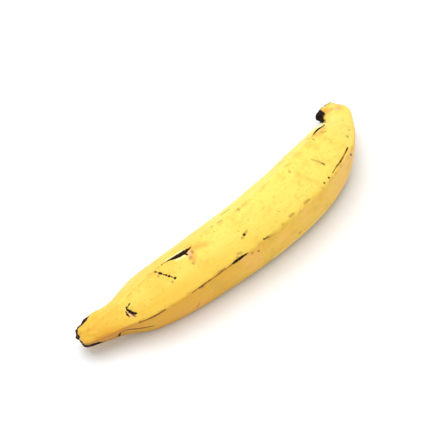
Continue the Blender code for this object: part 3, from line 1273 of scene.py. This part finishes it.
    def relief(
        self, plain: np.ndarray, place: np.ndarray, shrink: np.ndarray, bearing: np.ndarray, rows: int
    ) -> np.ndarray:
        """Work out how far each point stands out of the bare form.

        Args:
            plain: The form's points before any relief.
            place: Each row's place.
            shrink: How much each row's ring is shrunk.
            bearing: Each column's bearing in radians.
            rows: How many rows there are.

        Returns:
            The heights, by row and column, in metres.
        """
        loose = plain.reshape(-1, 3)
        lumps = fractal(loose, 26.0, 2, 3.1).reshape(rows, self.sides)
        dents = fractal(loose, 95.0, 2, 11.7).reshape(rows, self.sides)
        along = place[:, None]
        body = step(along, 0.03, 0.16) * step(along, 0.96, 0.84)
        height = (self.lump_mm * lumps + self.dent_mm * dents) * (0.35 + 0.65 * body)

        # Raised ridges, each with a faint hollow on either side.
        degrees = np.degrees(bearing)[None, :]
        for ridge in self.section.ridges():
            gap = turned_away(degrees, ridge)
            height = height + self.ridge_mm * bell(gap, self.ridge_width) * (0.5 + 0.5 * body)
            height = height - self.hollow_mm * bell(gap - self.hollow_gap, self.hollow_width) * body

        for swell in SWELLS:
            gap = turned_away(degrees, swell.bearing)
            reach = bell(along - swell.place, swell.spread[0])
            height = height + swell.height_mm * reach * bell(gap, swell.spread[1])

        # Lengthwise ribs on the stalk, and cross folds on the inside of its bend.
        neck = step(along, 0.80, 0.90)
        ribs = np.sin(np.radians(degrees) * 9.0 + 14.0 * along)
        height = height + self.rib_mm * ribs * neck
        inside = np.maximum(0.0, -np.cos(bearing))[None, :] ** 2
        folds = np.sin(along * 760.0 + 2.2 * dents)
        height = height + self.fold_mm * folds * inside * neck * step(along, 0.985, 0.95)

        # Lengthwise creases and small dents at the tip.
        tip = step(along, 0.085, 0.02)
        creases = np.sin(np.radians(degrees) * 11.0 + 9.0 * along + 4.0 * dents)
        height = height + (self.crease_mm * creases + self.tip_dent_mm * dents) * tip

        height = height - self.mark_depth(place, bearing)
        return height * MM * shrink[:, None]

    def mark_depth(self, place: np.ndarray, bearing: np.ndarray) -> np.ndarray:
        """Work out how deep the marks cut.

        Args:
            place: Each row's place.
            bearing: Each column's bearing in radians.

        Returns:
            The depths, by row and column, in millimetres.
        """
        depth = np.zeros((len(place), len(bearing)))
        along = place[:, None] * self.spine.length / MM
        for mark in self.finish.marks:
            finish = MARK_FINISHES[mark.kind]
            if finish.depth_mm <= 0.0:
                continue
            radius, pairs = mark_segments(mark, self.spine, self.section)
            across = bearing[None, :] * radius
            for start, end, start_width, end_width in pairs:
                run_along, run_across = end[0] - start[0], end[1] - start[1]
                from_along, from_across = along - start[0], across - start[1]
                reach = (from_along * run_along + from_across * run_across) / (run_along**2 + run_across**2)
                share = np.clip(reach, 0.0, 1.0)
                apart = np.hypot(from_along - share * run_along, from_across - share * run_across)
                width = start_width + (end_width - start_width) * share
                fullness = np.minimum(1.0, width / self.full_cut_mm)
                cut = finish.depth_mm * bell(apart, self.cut_width_mm) * fullness
                depth = np.maximum(depth, np.where(apart < self.cut_reach_mm, cut, 0.0))
        return depth

    def end_relief(
        self, plain: np.ndarray, place: np.ndarray, shrink: np.ndarray, bearing: np.ndarray
    ) -> np.ndarray:
        """Roughen the two end faces along the spine.

        Args:
            plain: The form's points before any relief.
            place: Each row's place.
            shrink: How much each row's ring is shrunk.
            bearing: Each column's bearing in radians.

        Returns:
            How far each point moves forward, in metres.
        """
        # The tip's face has spokes, a raised rim and a sunken middle, and the stalk's is rough.
        push = np.zeros(plain.shape[:2])
        for row, here in enumerate(place):
            at_tip = float(step(np.array(here), 0.012, 0.0))
            at_stalk = float(step(np.array(here), 0.985, 1.0))
            if at_tip + at_stalk <= 0.0:
                continue
            rough = fractal(plain[row], 420.0, 3, 5.3)
            spokes = np.sin(bearing * 7.0 + 1.3) * math.sin(math.pi * shrink[row])
            rim = float(bell(np.array(shrink[row] - 0.86), 0.12))
            dished = 0.5 * (1.0 - shrink[row])
            push[row] -= at_tip * (0.5 * rough + 0.45 * spokes + 0.5 * rim - dished) * MM
            push[row] += at_stalk * (0.8 * rough + 0.5 * spokes) * MM
        return push


@dataclass
class TipScar:
    """The dry crust on the blossom end, with the nub that the flower left."""

    peel: Peel
    finish: FibreFinish = field(default_factory=FibreFinish)
    radius_mm: float = 3.3
    depth_mm: float = 2.4
    stand_mm: float = 0.20
    bearing: float = 150.0
    offset_mm: float = 2.1
    tilt: float = 0.20
    around: int = 36
    nub_bearing: float = -30.0
    nub_reach: float = 0.50
    nub_root_mm: float = 1.0
    nub_mm: float = 1.1
    roughness_mm: float = 0.40
    # How far each ring of the cap steps in, and how far it then rises or sinks.
    cap_rings_mm: tuple[tuple[float, float], ...] = (
        (0.45, 0.20), (0.55, -0.40), (0.70, -0.15), (0.55, 0.30), (0.45, 0.10),
    )
    # The share of the nub's length that each pull adds, and how far its end then shrinks.
    nub_pulls: tuple[tuple[float, float], ...] = ((0.45, 0.85), (0.35, 0.75), (0.20, 0.55))

    def build(self) -> bpy.types.Object:
        """Model the crust on the tip.

        Returns:
            The crust as one object.
        """
        spine = self.peel.spine
        start = np.array([0.0])
        forward, outward, upward = (Vector(item[0]) for item in spine.directions(start))
        crown = Vector(spine.points(start)[0] + self.peel.moved) - forward * self.peel.tip_dome
        twist = self.peel.section.twist.value(0.0)
        turn = math.radians(self.bearing + twist)
        away = outward * math.cos(turn) + upward * math.sin(turn)
        axis = (away * self.tilt - forward).normalized()
        centre = crown + away * self.offset_mm * MM
        bpy.ops.object.select_all(action="DESELECT")
        bpy.ops.mesh.primitive_cylinder_add(
            vertices=self.around, radius=self.radius_mm * MM, depth=self.depth_mm * MM,
            location=centre - axis * (0.5 * self.depth_mm - self.stand_mm) * MM,
            rotation=axis.to_track_quat("Z", "Y").to_euler(),
        )
        crust = bpy.context.object
        crust.name = "tip_scar"
        crust.data.name = "tip_scar"
        bpy.ops.object.transform_apply(location=True, rotation=True, scale=True)
        self.shape_cap(crust.data, axis)
        turn = math.radians(self.nub_bearing + twist)
        away = outward * math.cos(turn) + upward * math.sin(turn)
        self.grow_nub(crust.data, centre + away * self.nub_reach * self.radius_mm * MM, axis)
        self.roughen(crust.data, centre, axis)
        crust.data.shade_smooth()
        crust.data.materials.append(self.finish.make())
        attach(crust, BODY)
        return crust

    def shape_cap(self, mesh: bpy.types.Mesh, outwards: Vector) -> None:
        """Step the cap in with a sunken ring and a raised middle.

        Args:
            mesh: The crust's mesh.
            outwards: The direction out of the tip.
        """
        pick_faces(mesh, lambda face: face.normal.dot(outwards) > 0.9)
        for thickness, depth in self.cap_rings_mm:
            bpy.ops.mesh.inset(thickness=thickness * MM, depth=depth * MM)
        bpy.ops.mesh.poke()
        bpy.ops.mesh.select_all(action="SELECT")
        bpy.ops.mesh.subdivide(number_cuts=1, smoothness=0.0)
        bpy.ops.object.mode_set(mode="OBJECT")

    def grow_nub(self, mesh: bpy.types.Mesh, root: Vector, outwards: Vector) -> None:
        """Pull a small nub out of the crust.

        Args:
            mesh: The crust's mesh.
            root: Where the nub stands.
            outwards: The direction out of the tip.
        """
        def near_root(face: bpy.types.MeshPolygon) -> bool:
            """Tell whether a face looks outwards, close to where the nub stands."""
            close = (face.center - root).length < self.nub_root_mm * MM
            return close and face.normal.dot(outwards) > 0.3

        pick_faces(mesh, near_root)
        for share, scale in self.nub_pulls:
            pull = tuple(outwards * self.nub_mm * share * MM)
            bpy.ops.mesh.extrude_region_move(TRANSFORM_OT_translate={"value": pull})
            bpy.ops.transform.resize(value=(scale, scale, scale))
        bpy.ops.object.mode_set(mode="OBJECT")

    def roughen(self, mesh: bpy.types.Mesh, centre: Vector, outwards: Vector) -> None:
        """Crumble the crust's surface and make its edge uneven.

        Args:
            mesh: The crust's mesh.
            centre: The middle of the crust, where it meets the tip.
            outwards: The direction out of the tip.
        """
        for vertex in mesh.vertices:
            place = vertex.co - centre
            sideways = place - outwards * place.dot(outwards)
            coarse = noise.fractal(vertex.co * 330.0, 1.0, 2.0, 3)
            fine = noise.fractal(vertex.co * 1100.0 + Vector((7.0, 3.0, 1.0)), 1.0, 2.0, 2)
            edge = 1.0 + 0.14 * coarse
            vertex.co = centre + outwards * place.dot(outwards) + sideways * edge
            crumbled = 0.8 * coarse + 0.35 * fine
            vertex.co += outwards * crumbled * self.roughness_mm * MM


@dataclass
class TornStalk:
    """The short dry strands that stand on the torn end of the stalk."""

    peel: Peel
    finish: FibreFinish = field(default_factory=FibreFinish)
    strands: int = 220
    strand_mm: float = 2.4
    girth_mm: float = 2.2
    sunk_mm: float = 0.8
    sway: float = 0.30
    inner_bearing: float = 165.0
    seed: int = 21

    def build(self) -> bpy.types.Object:
        """Model one strand, then stand copies of it on the end face.

        Returns:
            The strands as one object.
        """
        strand = self.model_strand()
        piece = self.scatter(strand)
        bpy.data.objects.remove(strand, do_unlink=True)
        piece.data.shade_smooth()
        piece.data.materials.append(self.finish.make())
        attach(piece, BODY)
        return piece

    def model_strand(self) -> bpy.types.Object:
        """Shape one tapered strand of unit height, bent a little.

        Returns:
            The strand, with its root at the origin.
        """
        bpy.ops.object.select_all(action="DESELECT")
        bpy.ops.mesh.primitive_cylinder_add(vertices=5, radius=0.16, depth=0.34, location=(0.0, 0.0, 0.17))
        strand = bpy.context.object
        pick_faces(strand.data, lambda face: face.normal.z > 0.9)
        for sideways, scale in ((0.06, 0.75), (0.12, 0.35)):
            bpy.ops.mesh.extrude_region_move(TRANSFORM_OT_translate={"value": (sideways, 0.0, 0.33)})
            bpy.ops.transform.resize(value=(scale, scale, 1.0))
        bpy.ops.object.mode_set(mode="OBJECT")
        return strand

    def scatter(self, strand: bpy.types.Object) -> bpy.types.Object:
        """Stand copies of the strand on the end face.

        Args:
            strand: The strand to copy.

        Returns:
            One object that holds every copy.
        """
        draw = random.Random(self.seed)
        spine, section = self.peel.spine, self.peel.section
        end = np.array([1.0])
        forward, outward, upward = (Vector(item[0]) for item in spine.directions(end))
        radius = section.half_thickness.value(1.0)
        centre = Vector(spine.points(end)[0] + self.peel.moved)
        work = bmesh.new()
        for _ in range(self.strands):
            turn = draw.uniform(0.0, 2.0 * math.pi)
            reach = math.sqrt(draw.uniform(0.02, 1.0))
            away = outward * math.cos(turn) + upward * math.sin(turn)
            inner = max(0.0, 3.0 * math.cos(turn - math.radians(self.inner_bearing)) - 2.0)
            sway = Vector([draw.uniform(-self.sway, self.sway) for _ in range(3)])
            lean = (forward + away * (draw.uniform(-0.4, 0.1) + 1.1 * inner) * reach + sway).normalized()
            tallness = 0.66 - 0.54 * reach + 1.30 * inner * reach
            length = self.strand_mm * MM * draw.uniform(0.40, 1.0) * tallness
            girth = self.girth_mm * MM * draw.uniform(0.6, 1.4)
            dome = self.peel.stalk_dome * math.sqrt(max(0.0, 1.0 - reach**2))
            overhang = 1.0 + 0.36 * inner * reach
            root = centre + away * radius * reach * 0.90 * overhang + forward * (dome - self.sunk_mm * MM)
            turned = lean.to_track_quat("Z", "X").to_matrix().to_4x4()
            spin = Matrix.Rotation(draw.uniform(0.0, 2.0 * math.pi), 4, "Z")
            size = Matrix.Diagonal((girth, girth, length, 1.0))
            copy = strand.data.copy()
            copy.transform(Matrix.Translation(root) @ turned @ spin @ size)
            work.from_mesh(copy)
            bpy.data.meshes.remove(copy)
        mesh = bpy.data.meshes.new("stalk_fibres")
        work.to_mesh(mesh)
        work.free()
        piece = bpy.data.objects.new("stalk_fibres", mesh)
        bpy.context.scene.collection.objects.link(piece)
        return piece


@dataclass(frozen=True)
class Studio:
    """A pale table, soft light and the camera."""

    target: tuple[float, float, float] = (-0.0133, 0.0107, 0.024)
    bearing: float = 40.0
    elevation: float = 50.0
    distance: float = 0.755
    lens_mm: float = 85.0
    sky_strength: float = 0.80
    key_power: float = 16.5
    key_size: float = 1.4
    key_distance: float = 1.3
    key_forward: float = 0.13
    key_left: float = 0.23
    table_size: float = 8.0
    floor_colour: Colour = (0.82, 0.82, 0.82)

    def build(self) -> None:
        """Set up the table, the lights and the camera."""
        self.lay_table()
        self.light_up()
        self.stand_camera()

    def ground_forward(self) -> tuple[Vector, Vector]:
        """Give the level directions that run away from the camera and to its right."""
        turn = math.radians(self.bearing)
        ahead = Vector((math.cos(turn), math.sin(turn), 0.0))
        return ahead, Vector((math.sin(turn), -math.cos(turn), 0.0))

    def lay_table(self) -> None:
        """Lay the pale table top."""
        bpy.ops.object.select_all(action="DESELECT")
        bpy.ops.mesh.primitive_plane_add(size=self.table_size)
        table = bpy.context.object
        table.name = "table"
        material = bpy.data.materials.new("pale_table")
        material.use_nodes = True
        desk = NodeDesk(material.node_tree)
        shader = material.node_tree.nodes["Principled BSDF"]
        solid = desk.add("ShaderNodeTexCoord").outputs["Object"]
        faint = desk.rise(desk.noise(solid, 6.0, 2.0), 0.3, 0.7)
        darker = tuple(0.985 * level for level in self.floor_colour)
        colour = desk.mix(faint, darker, self.floor_colour)
        material.node_tree.links.new(colour, shader.inputs["Base Color"])
        shader.inputs["Roughness"].default_value = 0.9
        shader.inputs["Specular IOR Level"].default_value = 0.1
        table.data.materials.append(material)

    def light_up(self) -> None:
        """Hang a broad key light high up at the back left, under an even sky."""
        world = bpy.data.worlds.new("even_sky")
        bpy.context.scene.world = world
        world.use_nodes = True
        sky = world.node_tree.nodes["Background"]
        sky.inputs["Color"].default_value = (1.0, 1.0, 1.0, 1.0)
        sky.inputs["Strength"].default_value = self.sky_strength
        forward, right = self.ground_forward()
        level = forward * self.key_forward - right * self.key_left
        towards = (level + Vector((0.0, 0.0, 1.0))).normalized()
        lamp = bpy.data.lights.new("key", "AREA")
        lamp.shape = "DISK"
        lamp.size = self.key_size
        lamp.energy = self.key_power
        key = bpy.data.objects.new("key", lamp)
        key.location = towards * self.key_distance
        key.rotation_euler = (-towards).to_track_quat("-Z", "Y").to_euler()
        bpy.context.scene.collection.objects.link(key)

    def stand_camera(self) -> None:
        """Stand the camera where the photograph was taken from."""
        forward, _ = self.ground_forward()
        rise = math.radians(self.elevation)
        gaze = forward * math.cos(rise) - Vector((0.0, 0.0, math.sin(rise)))
        lens = bpy.data.cameras.new("camera")
        lens.lens = self.lens_mm
        lens.sensor_width = 36.0
        lens.clip_start = 0.01
        camera = bpy.data.objects.new("camera", lens)
        camera.location = Vector(self.target) - gaze * self.distance
        camera.rotation_euler = gaze.to_track_quat("-Z", "Y").to_euler()
        bpy.context.scene.collection.objects.link(camera)
        bpy.context.scene.camera = camera
        bpy.context.scene.view_settings.view_transform = "Standard"


def main() -> None:
    """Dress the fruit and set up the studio."""
    logging.basicConfig(level=logging.INFO, format="%(name)s: %(message)s")
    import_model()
    peel = Peel()
    for piece in (peel.build(), TipScar(peel).build(), TornStalk(peel).build()):
        LOG.info("%s has %d faces", piece.name, len(piece.data.polygons))
    Studio().build()


if __name__ == "__main__":
    main()
